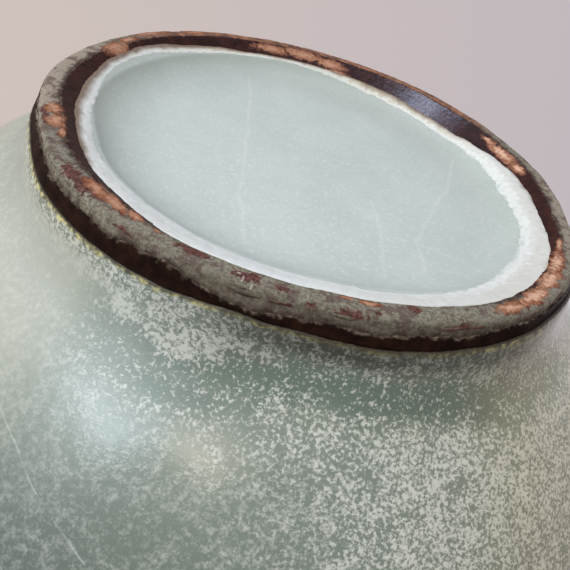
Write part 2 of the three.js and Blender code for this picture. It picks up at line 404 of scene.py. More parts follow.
# The white roll round the base: its usual radius, and its edges as radii
ROLL_RADIUS = 43.0
ROLL_OUTER = round_table({
    -172: 44.8, -159: 45.5, -152: 45.9, -140: 46.3, -125: 46.6, -95: 46.75, -78: 46.6, -66: 46.4,
    -58: 45.4, -50: 45.3, -41: 44.7, -26: 44.6, -15: 44.0, -4: 44.2, 7: 45.0, 20: 45.3, 29: 45.1,
    37: 44.2, 46: 43.9, 58: 42.9, 75: 42.9, 91: 42.5, 105: 42.0, 117: 41.2, 134: 41.0, 142: 41.9,
    151: 43.2, 161: 44.0, 173: 44.4,
})
ROLL_INNER = round_table({
    -172: 40.4, -162: 40.6, -150: 40.4, -137: 40.9, -129: 41.7, -120: 42.3, -105: 42.6, -90: 42.4,
    -80: 42.2, -69: 41.6, -57: 41.7, -48: 41.9, -36: 42.2, -27: 41.8, -15: 41.3, 0: 42.1, 7: 42.8, 15: 43.2,
    24: 42.9, 33: 41.9, 42: 41.4, 58: 41.5, 71: 41.5, 79: 41.0, 92: 40.2, 101: 39.7, 113: 39.3, 133: 39.0,
    139: 39.5, 151: 39.8, 162: 39.5, 173: 39.9,
})
# How creamy the roll is
ROLL_CREAM = round_table({
    -160: 0.35, -140: 0.42, -120: 0.25, -90: 0.0, -40: 0.1, 0: 0.3, 20: 0.7, 50: 1.0, 100: 1.0, 130: 0.8,
    150: 0.3,
})
# How beige its outer edge is, and how far it stands out
ROLL_BEIGE = round_table({
    -170: 0.3, -140: 0.15, -110: 0.0, -60: 0.1, -38: 0.7, 0: 1.0, 60: 0.9, 110: 0.8, 150: 0.4,
})
ROLL_BULGE = round_table({-180: 0.32, -120: 0.3, -60: 0.26, -20: 0.16, 60: 0.12, 120: 0.18})
# How much painted shade the base glaze gets next to the roll
BASE_SHADE = round_table({-170: 0.3, -120: 0.2, -60: 0.2, -30: 0.35, 0: 0.42, 40: 0.4, 90: 0.4, 140: 0.3})


def foot_section():
    """The foot's outside from its inner top, down the slope, over the resting face and up the wall.

    Gives the points, the normals and each point's reach.
    """
    slope_foot = np.array((INNER_EDGE - SLOPE_RUN, SLOPE_RISE))
    flank_foot = slope_foot + (-FLANK_RUN, FLANK_RISE)
    ledge = np.array((LEDGE_RADIUS, FOOT_TOP))
    # Each corner with the run over which it is rounded
    corners = (
        (ledge * 0.96 + flank_foot * 0.04, 0),
        (flank_foot, 0.5),
        (slope_foot, 0.8),
        ((INNER_EDGE, 0.0), 0.45),
        ((FOOT_RADIUS, 0.0), 1.15),
        ((FOOT_RADIUS + WORN_FLARE, WORN_HEIGHT), 1.4),
        ((CLAY_RADIUS, GLAZE_LINE), 0.3),
        ((CLAY_RADIUS, FOOT_TOP), 0),
    )
    path = [np.array(corners[0][0])]
    for (before, _), (corner, rounding), (after, _) in zip(corners, corners[1:], corners[2:]):
        before, corner, after = map(np.array, (before, corner, after))
        enter = corner + (before - corner) / np.linalg.norm(before - corner) * rounding
        leave = corner + (after - corner) / np.linalg.norm(after - corner) * rounding
        for t in np.linspace(0, 1, 7):
            path.append((1 - t) ** 2 * enter + 2 * (1 - t) * t * corner + t * t * leave)
    path.append(np.array(corners[-1][0]))
    path = np.array(path)
    run = np.concatenate([[0], np.cumsum(np.linalg.norm(np.diff(path, axis=0), axis=1))])
    at = np.linspace(0, run[-1], round(run[-1] / SECTION_SPACING))
    points = np.stack([np.interp(at, run, path[:, 0]), np.interp(at, run, path[:, 1])], 1)
    ways = np.gradient(points, axis=0)
    ways /= np.linalg.norm(ways, axis=1)[:, None]
    edge = np.argmin(np.hypot(points[:, 0] - INNER_EDGE, points[:, 1]))
    return points, np.stack([ways[:, 1], -ways[:, 0]], 1), at - at[edge]


SECTION, SECTION_OUT, REACH = foot_section()


def section_at(reach):
    """Radius, height and normal of the section at given reaches."""
    columns = (SECTION[:, 0], SECTION[:, 1], SECTION_OUT[:, 0], SECTION_OUT[:, 1])
    return [np.interp(reach, REACH, column) for column in columns]


def reach_of_height(height):
    """The reach of a height on the foot's outer side."""
    outer = REACH > RESTING_WIDTH
    return np.interp(height, SECTION[outer, 1], REACH[outer])


def reach_of_radius(radius):
    """The reach of a radius on the foot's inner side."""
    inner = REACH < 0.5
    return np.interp(radius, SECTION[inner, 0], REACH[inner])


def slope_height(radius):
    """Height of the foot's inner side at a radius."""
    inner = REACH < 0.5
    return np.interp(radius, SECTION[inner, 0], SECTION[inner, 1])


def apart(degrees, angle):
    """Signed millimetres round the foot from an angle."""
    return (np.mod(degrees - angle + 180, 360) - 180) * math.pi / 180 * FOOT_RADIUS


def patch_field(degrees, reach, patches):
    """How far inside the nearest oval patch a place lies: 1 at a centre, 0 on its edge, -1 far outside."""
    field = np.full(degrees.shape, -1.0)
    for angle, centre, length, width in patches:
        away = np.hypot(apart(degrees, angle) / (length / 2), (reach - centre) / (width / 2))
        field = np.maximum(field, 1 - away)
    return field


def foot_marks(degrees, reach, **more):
    """What the foot's materials read from its meshes."""
    return {
        "copper": patch_field(degrees, reach, COPPER),
        "remnant": patch_field(degrees, reach, REMNANTS),
        "scratch": patch_field(degrees, reach, SCRATCHES),
        "gloss": np.exp(-((degrees - 119) / 15) ** 2) * (reach < 0.6),
        "blaze": 0.4 + 0.45 * (1 - smooth(-136, -126, degrees)) + 0.5 * smooth(136, 148, degrees),
        **more,
    }


def foot_relief(degrees, reach, points):
    """Depth that wear and chips take off the clay, in millimetres, along the section's normal."""
    on_face = between(reach, -0.3, 0.5, 4.8, 6.3)
    relief = 0.10 * layered_noise(points, 5.0, 11) * (0.4 + 0.6 * on_face)
    relief += 0.07 * on_face * layered_noise(points, 0.8, 23, 3, 0.65)
    relief -= 0.16 * on_face * smooth(0.25, 0.75, layered_noise(points, 1.7, 37))
    ragged = 0.35 * layered_noise(points, 1.1, 51)
    for angle, centre, length, width, depth in CHIPS:
        away = (apart(degrees, angle) / (length / 2)) ** 2 + ((reach - centre) / width) ** 2
        relief -= depth * smooth(0, 1, 1 - away + ragged)
    return relief


def outer_worn_edge(degrees):
    """Reach of the outer dressing's ragged worn edge."""
    rim = cartesian(FOOT_RADIUS, WORN_HEIGHT, degrees)
    ragged = waves(rim, (0.28, 3.0, 91), (0.30, 1.0, 95, 2))
    return reach_of_height(np.clip(WORN_EDGE(degrees) + ragged, 0.3, LINE_HEIGHT(degrees) - 0.6))


def inner_worn_edge(degrees):
    """Reach of the inner dressing's ragged worn edge."""
    rim = cartesian(INNER_EDGE, 0.0, degrees)
    ragged = waves(rim, (0.22, 4.0, 101), (0.18, 0.9, 105, 2))
    under_roll = between(degrees, -134, -120, -80, -66)
    return np.clip(0.05 + ragged - 1.3 * under_roll, -1.6, 0.4)


def foot_ring(material):
    """The clay foot. Its profile ends in the inner top corner, with a reach far from every mark."""
    degrees = all_round(FOOT_SEGMENTS)
    radius, height, turn = ring_places(np.vstack([SECTION, (LEDGE_RADIUS, FOOT_TOP)]), FOOT_SEGMENTS)
    reach = on_every_turn(np.append(REACH, FAR_REACH), FOOT_SEGMENTS)
    out = np.vstack([SECTION_OUT, (0, 0)])
    relief = foot_relief(turn, reach, cartesian(radius, height, turn))
    radius = radius + relief * out[None, :, 0]
    height = np.maximum(height + relief * out[None, :, 1], 0.0)
    outer_edge = outer_worn_edge(degrees)[:, None]
    inner_edge = inner_worn_edge(degrees)[:, None]
    to_dressing = np.minimum(outer_edge - reach, reach - inner_edge)
    pale = between(turn, -40, -22, 2, 18) + 0.6 * between(np.mod(turn, 360), 152, 170, 192, 204)
    scorched = between(turn, 16, 34, 128, 146)
    # Painted shade: the worn face darker towards its outer side on the near side, where it curves away from
    # the light
    soiled = smooth(1.2, 4.6, reach) * between(turn, -146, -134, -76, -58)
    marks = foot_marks(turn, reach, to_dressing=to_dressing, pale=pale, scorched=scorched, soiled=soiled)
    piece = turned_mesh("foot_ring_worn", radius, height, turn, marks=marks)
    return place(piece, material, "stoneware", "foot_ring")


def there_and_back(top, under=None):
    """Grids of a coat's surface and of its underside, joined into one closed grid."""
    return np.concatenate([top, (top if under is None else under)[:, ::-1]], 1)


def coat(name, edge, end, rows, thickness):
    """A dressing from its ragged worn edge to its sheltered end, as a closed thin band on the clay."""
    degrees = all_round(FOOT_SEGMENTS)
    ramp = np.linspace(0, 1, rows) ** 1.3
    reach = edge[:, None] * (1 - ramp) + end[:, None] * ramp
    turn = on_every_point(degrees, rows)
    radius, height, out_r, out_z = section_at(reach)
    points = cartesian(radius, height, turn)
    relief = foot_relief(turn, reach, points)
    from_edge = np.abs(reach - edge[:, None])
    to_end = np.abs(reach - end[:, None])
    lumps = waves(points, (0.05, 1.3, 71), (0.03, 0.5, 73))
    lumps *= 1 - 0.85 * foot_marks(turn, reach)["gloss"]
    body = smooth(0, 0.45, from_edge) * smooth(0, 0.5, to_end)
    top = relief + thickness * body - 0.04 + lumps * body
    under = relief - 0.3
    radius = there_and_back(radius + top * out_r, radius + under * out_r)
    height = there_and_back(height + top * out_z, height + under * out_z)
    turn, reach, from_edge = (there_and_back(grid) for grid in (turn, reach, from_edge))
    marks = foot_marks(turn, reach, from_edge=from_edge)
    return turned_mesh(name, radius, np.maximum(height, 0.02), turn, marks=marks)


def outer_dressing(material):
    """The dressing up the outside, to under the glaze's edge."""
    degrees = all_round(FOOT_SEGMENTS)
    end = reach_of_height(np.minimum(LINE_HEIGHT(degrees) + 0.25, FOOT_TOP))
    piece = coat("outer_dressing_worn", outer_worn_edge(degrees), end, 34, DRESSING)
    return place(piece, material, "foot_dressing", "outer_foot_dressing")


def inner_dressing(material):
    """The dressing down the inner slope, to under the white roll."""
    degrees = all_round(FOOT_SEGMENTS)
    end = reach_of_radius(np.minimum(ROLL_OUTER(degrees) - 0.9, 42.5))
    piece = coat("inner_dressing_worn", inner_worn_edge(degrees), end, 44, DRESSING * 0.8)
    return place(piece, material, "foot_dressing", "inner_foot_dressing")


# Glaze under the base

def dish_height(radius):
    """Height of the base glaze's surface at a radius."""
    edge = (INNER_EDGE - SLOPE_RUN - FLANK_RUN, SLOPE_RISE + FLANK_RISE - BASE_GLAZE)
    flat = (edge[0] - DISH_REACH, COVE_START - BASE_GLAZE)
    points, _ = swept(flat, 0, edge, -45, BELLY_FULLNESS, 40)
    slope = (INNER_EDGE - SLOPE_RUN, SLOPE_RISE - DRESSING)
    r = np.concatenate([[0], [flat[0]], points[:, 0], [slope[0]], [INNER_EDGE]])
    z = np.concatenate([[flat[1]], [flat[1]], points[:, 1], [slope[1]], [0.12]])
    return np.interp(radius, r, z)


def base_glaze(material):
    """The pool of glaze in the shallow dish of the base, out to under the middle of its roll."""
    degrees = all_round(POOL_SEGMENTS)
    rim = (ROLL_INNER(degrees) * 0.72 + ROLL_OUTER(degrees) * 0.28)[:, None]
    share = np.concatenate([np.linspace(0.01, 0.62, 34), np.linspace(0.63, 1, 50)])[None, :]
    radius = rim * share
    turn = on_every_point(degrees, share.shape[1])
    points = cartesian(radius, 0.0, turn)
    height = dish_height(radius) + waves(points, (0.10, 14.0, 131, 2), (0.02, 2.5, 137, 2))
    # Painted shade: the base glaze darker next to the roll and towards the far side
    near_roll = 1 - smooth(-0.5, 17.0, ROLL_INNER(turn) - radius)
    shade = BASE_SHADE(turn) * near_roll + 0.14 * smooth(-34, 30, points[..., 1])
    back_r = rim * np.array([[0.985, 0.90, 0.01]])
    clay = COVE_START - BOND_GAP
    back_z = np.concatenate([slope_height(back_r[:, :1]) + 0.3, np.full((POOL_SEGMENTS, 2), clay)], 1)
    radius = np.concatenate([radius, back_r], 1)
    height = np.concatenate([height, np.minimum(back_z, clay)], 1)
    turn = on_every_point(degrees, radius.shape[1])
    marks = {"shade": np.concatenate([shade, np.zeros_like(back_r)], 1)}
    piece = turned_mesh("base_glaze_pool", radius, height, turn, closed=False, marks=marks)
    return place(piece, material, "base_glaze", "base_glaze")


def glaze_roll(material):
    """The thick white edge of the base glaze, crawled into an uneven roll against the dressed slope."""
    rows = 34
    degrees = all_round(FOOT_SEGMENTS)
    rim = cartesian(ROLL_RADIUS, 0.0, degrees)
    outer = ROLL_OUTER(degrees) + waves(rim, (0.10, 3.0, 151), (0.09, 0.8, 153))
    crawl = 0.3 + 0.5 * smooth(60, 150, np.abs(degrees))
    inner = ROLL_INNER(degrees) + crawl * waves(rim, (0.5, 3.5, 161), (0.4, 1.2, 163))
    share = np.linspace(0, 1, rows)[None, :]
    radius = inner[:, None] * (1 - share) + outer[:, None] * share
    turn = on_every_point(degrees, rows)
    points = cartesian(radius, 0.0, turn)
    start = dish_height(inner)[:, None] + 0.05
    finish = slope_height(outer)[:, None] - 0.12
    bow = np.sin(math.pi * share)
    bulge = ROLL_BULGE(turn) * bow ** 0.7 * smooth(0.3, 3.0, (outer - inner)[:, None])
    lumps = waves(points, (0.09, 2.2, 171), (0.05, 0.6, 173))
    line = np.minimum(start * (1 - share) + finish * share, dish_height(radius) + 0.05 - 0.1 * bow)
    height = there_and_back(np.maximum(line - bulge - lumps * bow ** 0.5, 0.05), line + 0.4)
    radius, turn = there_and_back(radius), there_and_back(turn)
    across = there_and_back(on_every_turn(share[0], FOOT_SEGMENTS))
    marks = {"roll": across, "cream": ROLL_CREAM(turn), "beige": ROLL_BEIGE(turn)}
    piece = turned_mesh("base_roll_crust", radius, height, turn, marks=marks)
    return place(piece, material, "glaze_crust", "base_glaze_roll")


# Glaze outside

# A place on it is an angle and a run: millimetres along the outline from the glaze's edge.
# Middle of the clear band in the cove, as a run
COVE_BAND = round_table({
    -180: 9.5, -140: 10.5, -128: 10.0, -122: 8.6, -117: 8.0, -108: 7.5, -102: 6.5, -96: 6.8, -91: 9.0,
    -86: 10.5, -80: 11.6, -76: 11.0, -72: 10.0, -67: 8.5, 0: 8.5, 90: 8.0,
})
# How thick the specks are on the belly below that band
SPECKS_BELOW = round_table({
    -180: 0.6, -140: 0.68, -118: 0.68, -106: 0.58, -94: 0.42, -80: 0.34, -62: 0.36, -40: 0.42, 20: 0.45,
    90: 0.55,
})
# How dark the ground is between the specks next to the edge: partly painted shade under the foot, partly the
# dark dressing seen through the thin glaze
SHADE = round_table({
    -180: 0.3, -150: 0.4, -125: 0.85, -100: 1.0, -88: 0.85, -80: 0.4, -65: 0.1, 0: 0.1, 90: 0.4,
})
# Width and paleness of the olive line along the edge
OLIVE_WIDTH = round_table({
    -180: 1.5, -160: 1.8, -146: 1.6, -135: 0.9, -125: 0.7, -110: 0.5, -90: 0.4, -70: 0.5, -45: 0.7,
    0: 0.6, 90: 0.8,
})
OLIVE_TONE = round_table({
    -180: 0.4, -150: 0.3, -135: 0.5, -126: 0.45, -112: 0.15, -100: 0.15, -90: 0.35, -78: 0.65, -60: 0.9,
    -40: 0.9, 0: 0.6,
})
# How milky and even the glaze looks, away from the specks
MILK = round_table({
    -180: 0.5, -164: 0.55, -150: 0.2, -130: 0.0, -84: 0.0, -70: 0.35, -58: 0.8, -45: 0.8, -30: 0.6,
    0: 0.5, 60: 0.3,
})
# How warm and olive the glaze is
WARMTH = round_table({
    -180: 0.7, -150: 1.0, -132: 1.0, -118: 0.6, -104: 0.25, -92: 0.1, -72: 0.1, -58: 0.4, -30: 0.45,
    0: 0.4, 90: 0.5,
})
# Clusters and gaps: angle, run, radius, change of the specks' thickness
CLUSTERS = (
    (-77.4, 8.5, 1.5, 0.55), (-80.8, 7.5, 1.5, 0.5), (-95.5, 9.8, 2.0, 0.6), (-121.1, 19.9, 1.0, -1.6),
    (-70.0, 6.0, 2.0, 0.4), (-110.0, 5.5, 2.0, 0.3),
)


def glaze_marks(along, degrees, points):
    """Thickness of the specks, how soft they are, the tints of the outside glaze, and its painted shade."""
    wander = waves(points, (1.5, 9.0, 301), (0.9, 3.0, 303))
    middle = COVE_BAND(degrees)
    place_now = along + wander
    rim = 1 - smooth(middle - 4.4, middle - 1.6, place_now)
    below = smooth(middle + 1.4, middle + 5.4, place_now)
    left = between(degrees, -112, -84, -20, 10)
    fall = 1 - 0.25 * smooth(18, 38, along)
    clouds = waves(points, (0.18, 60.0, 307, 2), (0.14, 12.0, 309))
    thick = 0.60 * rim + SPECKS_BELOW(degrees) * fall * below + 0.06 + clouds * below
    # Painted shade next to the foot, fading up the belly, with fewer specks in it
    shade = rim * SHADE(degrees) * (1 - 0.5 * smooth(1.5, 4.5, along))
    thick -= 0.28 * shade * (1 - smooth(2.5, 5.0, along)) * (1 - smooth(-92, -80, degrees))
    thick += 0.22 * (1 - smooth(-142, -124, degrees)) * smooth(2.5, 6.0, along) * (1 - below)
    for angle, run, radius, change in CLUSTERS:
        away = np.hypot(apart(degrees, angle) * 1.12, along - run) / radius
        thick = thick + change * np.exp(-away ** 2)
    soft = 0.75 * between(degrees, -76, -56, 40, 80) * smooth(1.5, 5, along)
    soft = soft + 0.7 * smooth(11, 24, along) * left + 0.2 * smooth(28, 60, along)
    milk = MILK(degrees) * smooth(1.0, 5.0, along) * (1 - 0.92 * smooth(18, 42, along))
    edge = along + 0.55 * layered_noise(points, 0.8, 315, 2) * smooth(0.0, 0.4, along)
    width = OLIVE_WIDTH(degrees)
    return {
        "along": along,
        "milk": milk,
        # Painted shade over the lower belly on the near and left sides
        "belly_shade": between(along, 22, 44, 70, 95) * left,
        "edge": edge,
        "olive": 1 - smooth(0.5 * width, 1.6 * width, edge),
        "olive_tone": OLIVE_TONE(degrees),
        "specks": np.clip(thick, 0, 1.2),
        "soft": np.clip(soft, 0, 0.85),
        "cove": (1 - rim) * (1 - below) * smooth(-136, -118, degrees),
        "warm": np.clip(WARMTH(degrees) + 0.25 * layered_noise(points, 30.0, 311, 2), 0, 1),
        "shade": shade,
    }


def outer_glaze(material):
    """The speckled glaze from its wandering edge above the foot up to the lip."""
    outline = Outline(GLAZE_DETAIL)
    skin = outline.layer(0)
    ways = outline.ways
    run = np.concatenate([[0], np.cumsum(np.linalg.norm(np.diff(skin, axis=0), axis=1))])
    degrees = all_round(GLAZE_SEGMENTS)
    radius, height, turn = ring_places(skin, GLAZE_SEGMENTS)
    along = on_every_turn(run, GLAZE_SEGMENTS)
    points = cartesian(radius, height, turn)
    marks = glaze_marks(along, turn, points)
    rim = cartesian(WALL_RADIUS, GLAZE_LINE, degrees)
    wander = LINE_HEIGHT(degrees) + waves(rim, (0.15, 2.2, 201), (0.14, 0.8, 203)) - GLAZE_LINE
    height = height + wander[:, None] * (1 - smooth(0, 6, along))
    thin = (OUTER_GLAZE - DRESSING - 0.03) * (1 - np.clip(along / 3.2, 0, 1)) ** 2
    uneven = waves(points, (0.07, 9.0, 211, 2), (0.03, 3.0, 213, 2))
    push = uneven * smooth(0.3, 2.5, along) - thin
    radius = radius + push * ways[None, :, 1]
    height = height - push * ways[None, :, 0]
    back = outline.layer(OUTER_GLAZE)[::-1]
    keep = np.unique(np.concatenate([np.arange(0, len(back), 12), [len(back) - 1]]))
    back_r, back_z, back_turn = ring_places(back[keep], GLAZE_SEGMENTS)
    back_z[:, -1] += wander
    back_r[:, -1] -= 0.25
    radius = np.concatenate([radius, back_r], 1)
    height = np.concatenate([height, back_z], 1)
    turn = np.concatenate([turn, back_turn], 1)
    for mark in marks:
        marks[mark] = np.concatenate([marks[mark], np.zeros_like(back_r)], 1)
    piece = turned_mesh("celadon_glaze", radius, height, turn, marks=marks)
    return place(piece, material, "celadon_glaze", "outer_glaze")


def lip_profile(outline, outer_depth, inner_depth, steps):
    """Half a circle over the lip, from a depth outside to a depth inside, without its ends."""
    a = outline.layer(outer_depth)[-1]
    b = outline.layer(inner_depth, through_wall=True)[-1]
    centre = (a + b) / 2
    across = a - centre
    ahead = heading(LIP_HEADING) * np.linalg.norm(across)
    angles = np.linspace(0, math.pi, steps + 1)[1:-1, None]
    return centre + across * np.cos(angles) + ahead * np.sin(angles)


def plain_turning(name, profile, segments, material, slot, node, closed=True):
    """A turned piece that takes the place of a node."""
    return place(turned_mesh(name, *ring_places(profile, segments), closed), material, slot, node)


def lip_glaze(material):
    """The thin glaze over the lip, from the outside glaze to the inside one."""
    outline = Outline(GLAZE_DETAIL)
    profile = np.concatenate([
        outline.layer(0)[-1:],
        lip_profile(outline, 0, OUTER_GLAZE + INNER_GLAZE, 18),
        outline.layer(OUTER_GLAZE + INNER_GLAZE, through_wall=True)[-1:],
        outline.layer(OUTER_GLAZE, through_wall=True)[-1:],
        lip_profile(outline, OUTER_GLAZE, OUTER_GLAZE, 10)[::-1],
        outline.layer(OUTER_GLAZE)[-1:],
    ])
    return plain_turning("lip_glaze_thin", profile, COAT_SEGMENTS, material, "lip_glaze", "lip_glaze")


def floor_curve(start, lift, steps):
    """The inside from the top of the base section's wall down to the flat of the floor."""
    points, ways = swept(start, COVE_HEADING + 180, (FLOOR_RADIUS, FLOOR_TOP), 180, BELLY_FULLNESS, steps)
    return points + np.stack([ways[:, 1], -ways[:, 0]], 1) * lift


def inner_glaze(material):
    """The glaze inside, on the wall and over the floor."""
    outline = Outline(COAT_DETAIL)
    clay = OUTER_GLAZE
    surface = OUTER_GLAZE + INNER_GLAZE
    start = outline.layer(OUTER_GLAZE - BOND_GAP, "cove", "cove", True)[0]
    top = FLOOR_TOP + BOND_GAP
    profile = np.concatenate([
        [[NEAR_AXIS, top]],
        floor_curve(start, BOND_GAP, 14)[::-1],
        outline.layer(clay, "cove", "mouth", True),
        outline.layer(surface, "cove", "mouth", True)[::-1],
        floor_curve(start, BOND_GAP + INNER_GLAZE, 24),
        [[NEAR_AXIS, top + INNER_GLAZE]],
    ])
    return plain_turning(
        "liner_glaze_coat", profile, COAT_SEGMENTS, material, "liner_glaze", "inner_glaze", closed=False,
    )


# Clay sections and the slip between them, which show only where a glaze is cut away

def clay_sections(clay, slip):
    """The thrown sections and the slip between them. Only the base section reaches the axis."""
    outline = Outline(CLAY_DETAIL)
    outer, inner = OUTER_GLAZE + BOND_GAP, OUTER_GLAZE - BOND_GAP
    start = outline.layer(inner, "cove", "cove", True)[0]
    base = np.concatenate([
        [[NEAR_AXIS, COVE_START]],
        outline.layer(outer, "foot_joint", "cove"),
        [start],
        floor_curve(start, 0, 8),
        [[NEAR_AXIS, FLOOR_TOP]],
    ])
    neck = np.concatenate([
        outline.layer(outer, "shoulder_joint", "mouth"),
        lip_profile(outline, outer, inner, 8),
        outline.layer(inner, "shoulder_joint", "mouth", True)[::-1],
    ])
    luting = [
        [LEDGE_RADIUS, FOOT_TOP],
        [CLAY_RADIUS, FOOT_TOP],
        [CLAY_RADIUS, COVE_START],
        [LEDGE_RADIUS, COVE_START],
    ]
    band = functools.partial(outline.band, outer, inner)
    sections = (
        ("base_section_clay", "base_section", base),
        ("lower_body_turned", "lower_body", band("base_joint", "belly")),
        ("upper_body_turned", "upper_body", band("belly_joint", "shoulder")),
        ("base_luting_turned", "base_luting", band("cove", "base_joint")),
        ("belly_luting_turned", "belly_luting", band("belly", "belly_joint")),
        ("shoulder_luting_turned", "shoulder_luting", band("shoulder", "shoulder_joint")),
        ("neck_and_mouth_turned", "neck_and_mouth", neck),
        ("foot_luting_turned", "foot_luting", luting),
    )
    for name, node, profile in sections:
        material, slot = (slip, "luting_slip") if node.endswith("_luting") else (clay, "stoneware")
        closed = node != "base_section"
        plain_turning(name, profile, CLAY_SEGMENTS, material, slot, node, closed)


# Materials

def tone(red, green, blue):
    """A colour written as 0 to 255 on screen, as a shader takes it."""
    def one(v):
        v /= 255
        return v / 12.92 if v <= 0.04045 else ((v + 0.055) / 1.055) ** 2.4
    return (one(red), one(green), one(blue), 1.0)


# Millimetres over which a crack wanders from side to side
CRACK_WANDER = 7


class Nodes:
    """A node tree, with short calls for the nodes used here."""

    def __init__(self, owner):
        owner.use_nodes = True
        self.owner = owner
        self.tree = owner.node_tree
        self.tree.nodes.clear()

    def node(self, kind, inputs=None, **settings):
        """A node with its settings, and values or links for its inputs by name or number."""
        made = self.tree.nodes.new(f"ShaderNode{kind}")
        for key, value in settings.items():
            setattr(made, key, value)
        for socket, value in (inputs or {}).items():
            self.put(made.inputs[socket], value)
        return made

    def put(self, socket, value):
        if hasattr(value, "is_output"):
            self.tree.links.new(value, socket)
        else:
            socket.default_value = value

    def vector(self, operation, a, b=(0, 0, 0)):
        made = self.node("VectorMath", {0: a, 1: b}, operation=operation)
        gives_number = operation in ("DOT_PRODUCT", "DISTANCE", "LENGTH")
        return made.outputs["Value" if gives_number else "Vector"]

    def sum(self, operation, a, b=0.0, c=0.0):
        return self.node("Math", {0: a, 1: b, 2: c}, operation=operation).outputs[0]

    def times(self, a, b):
        return self.sum("MULTIPLY", a, b)

    def plus(self, a, b):
        return self.sum("ADD", a, b)

    def line(self, value, slope, start):
        """A value times a slope, plus a start."""
        return self.sum("MULTIPLY_ADD", value, slope, start)

    def span(self, value, low, high, to_low=0.0, to_high=1.0, kind="SMOOTHSTEP"):
        """A step of a value from one range to another, smooth unless asked otherwise."""
        ends = {"From Min": low, "From Max": high, "To Min": to_low, "To Max": to_high}
        made = self.node("MapRange", {**ends, "Value": value}, interpolation_type=kind)
        return made.outputs["Result"]

    def mix(self, share, a, b):
        made = self.node("Mix", {"Factor": share}, data_type="RGBA")
        for name, colour in (("A", a), ("B", b)):
            self.put(made.inputs[name], tone(*colour) if isinstance(colour, tuple) else colour)
        return made.outputs["Result"]

    def either(self, share, first, second):
        """The first shader, or the second where the share is 1."""
        return self.node("MixShader", {0: share, 1: first.outputs[0], 2: second.outputs[0]})


class Finish(Nodes):
    """A material. Its colour starts as a mix and gets more laid over it."""

    def __init__(self, name, roughness, specular):
        super().__init__(bpy.data.materials.new(name))
        self.shader = self.node("BsdfPrincipled", {"Roughness": roughness, "Specular IOR Level": specular})
        self.node("OutputMaterial", {"Surface": self.shader.outputs[0]})
        self.coords = self.node("TexCoord").outputs["Object"]

    def lay(self, share, colour):
        """Lays a colour over what is there, by a share."""
        self.colour = self.mix(share, self.colour, colour)

    def noise(self, feature, detail, rough, warp=0.0, offset=0.0):
        """Noise from 0 to 1 with bumps of about the feature's millimetres."""
        source = self.coords
        if offset:
            source = self.vector("ADD", source, (offset, offset * 0.7, -offset * 0.4))
        scale = 1 / (feature * MM)
        sockets = {"Scale": scale, "Detail": detail, "Roughness": rough, "Distortion": warp, "Vector": source}
        return self.node("TexNoise", sockets).outputs["Fac"]

    def mark(self, name, share=1.0):
        """A mark that the mesh carries, or a share of it."""
        mark = self.node("Attribute", attribute_name=name).outputs["Fac"]
        return mark if share == 1.0 else self.times(mark, share)

    def bump(self, height, depth, before=None):
        """Bump of a height from 0 to 1, with its real depth in millimetres."""
        made = self.node("Bump", {"Strength": 1.0, "Distance": depth * MM, "Height": height})
        if before is not None:
            self.put(made.inputs["Normal"], before)
        return made.outputs["Normal"]

    def ragged(self, feature, detail, rough, strength, offset=0.0):
        """Noise to both sides of zero."""
        centred = self.sum("SUBTRACT", self.noise(feature, detail, rough, offset=offset), 0.5)
        return self.times(centred, strength)

    def patch(self, name, ragged, low=0.0, high=0.22):
        """1 inside the patches that a mesh carries as a field, with a ragged border."""
        return self.span(self.plus(self.mark(name), ragged), low, high)

    def burn(self):
        """Lays copper-coloured burnt clay over its patches, brightest in their middle."""
        burnt = self.patch("copper", self.ragged(1.5, 4.0, 0.6, 2.6, 2.9), -0.15, 0.3)
        middle = self.plus(self.mark("copper"), self.ragged(0.8, 4.0, 0.65, 2.2, 2.1))
        dark = self.mix(self.span(middle, -0.2, 0.45), (86, 48, 36), (138, 90, 64))
        bright = self.times(self.span(middle, 0.25, 0.95), self.mark("blaze"))
        self.lay(burnt, self.mix(bright, dark, (206, 164, 138)))

    def crack(self, start, end, width, wander, offset):
        """1 on a fine wandering line from one point to another, in millimetres."""
        a, b = Vector(start) * MM, Vector(end) * MM
        length = (b - a).length
        way = tuple((b - a) / length)
        moved = self.vector("ADD", self.coords, (offset, offset, 0))
        shift = self.node("TexNoise", {"Scale": 1 / (CRACK_WANDER * MM), "Detail": 3.0, "Vector": moved})
        centred = self.vector("SUBTRACT", shift.outputs["Color"], (0.5, 0.5, 0.5))
        scaled = self.vector("MULTIPLY", centred, (wander * MM, wander * MM, 0))
        place_now = self.vector("SUBTRACT", self.vector("ADD", self.coords, scaled), tuple(a))
        run = self.vector("DOT_PRODUCT", place_now, way)
        along = self.sum("MINIMUM", self.sum("MAXIMUM", run, 0.0), length)
        foot = self.node("VectorMath", {0: way, "Scale": along}, operation="SCALE")
        away = self.vector("DISTANCE", place_now, foot.outputs["Vector"])
        return self.span(away, width * 0.25 * MM, width * MM, 1.0, 0.0)

    def cracks(self, lines, share, colour, *size):
        """Lays fine cracks over the colour, from point to point of each line. Each has its own offset."""
        drawn = None
        for line, offset in lines:
            for start, end in zip(line, line[1:]):
                piece = self.crack(start, end, *size, offset)
                drawn = piece if drawn is None else self.sum("MAXIMUM", drawn, piece)
        self.lay(self.times(drawn, share), colour)

    def finish(self, normal):
        self.put(self.shader.inputs["Base Color"], self.colour)
        self.put(self.shader.inputs["Normal"], normal)
        return self.owner


